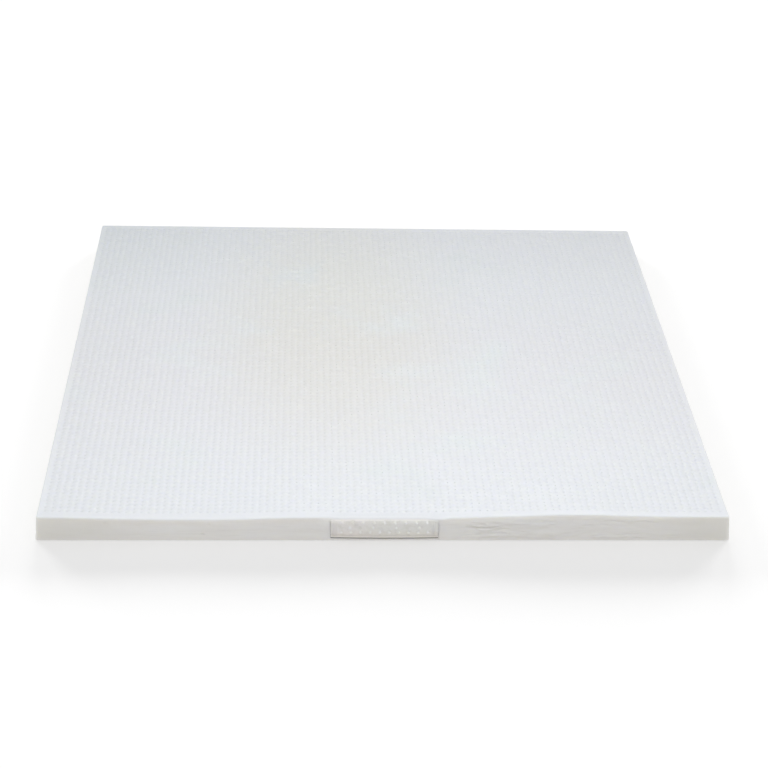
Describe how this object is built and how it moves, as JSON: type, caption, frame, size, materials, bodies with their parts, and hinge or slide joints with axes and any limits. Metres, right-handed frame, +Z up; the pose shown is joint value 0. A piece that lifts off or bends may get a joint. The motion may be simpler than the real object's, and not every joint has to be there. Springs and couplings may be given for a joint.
{
  "type": "mattress topper",
  "caption": "Uncovered latex foam mattress topper: a flat, soft white slab with a pin-hole top, an uneven front rim and a small moulded plate let into its front face.",
  "frame": {"origin": "centre of the underside's outline, on the surface that the topper lies on", "axes": "+Z up through the thickness, +Y along the length and away from the label plate, +X along the width"},
  "size_m": [1.8088, 2, 0.0781],
  "materials": {
    "latex_foam": "matt moulded foam skin",
    "plate_rubber": "satin moulded rubber"
  },
  "bodies": {
    "root": {"topper": "latex_foam", "label_plate": "plate_rubber"}
  },
  "joints": []
}
